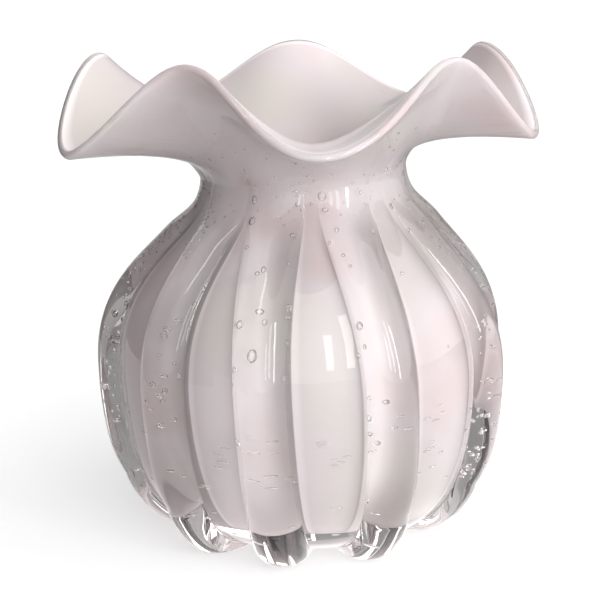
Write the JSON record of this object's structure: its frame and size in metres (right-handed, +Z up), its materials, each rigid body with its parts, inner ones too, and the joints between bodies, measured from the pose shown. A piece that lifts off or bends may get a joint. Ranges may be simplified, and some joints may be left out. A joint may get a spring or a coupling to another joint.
{
  "type": "glass vase",
  "caption": "Ruffled vase of clear bubbled glass over a pale pink opal lining, with ribs on a round body, a narrow neck and small clear feet.",
  "frame": {"origin": "on the vase's axis, at the level that its feet stand on", "axes": "+Z up along the vase's axis; -Y is the front, the side that the picture shows"},
  "size_m": [0.1868, 0.184, 0.1983],
  "materials": {
    "opal": "glossy",
    "clear": "glossy"
  },
  "bodies": {
    "root": {"opal_liner": "opal", "clear_casing": "clear", "foot_01": "clear", "foot_02": "clear", "foot_03": "clear", "foot_04": "clear", "foot_05": "clear", "foot_06": "clear", "foot_07": "clear", "foot_08": "clear", "foot_09": "clear", "foot_10": "clear"}
  },
  "joints": []
}
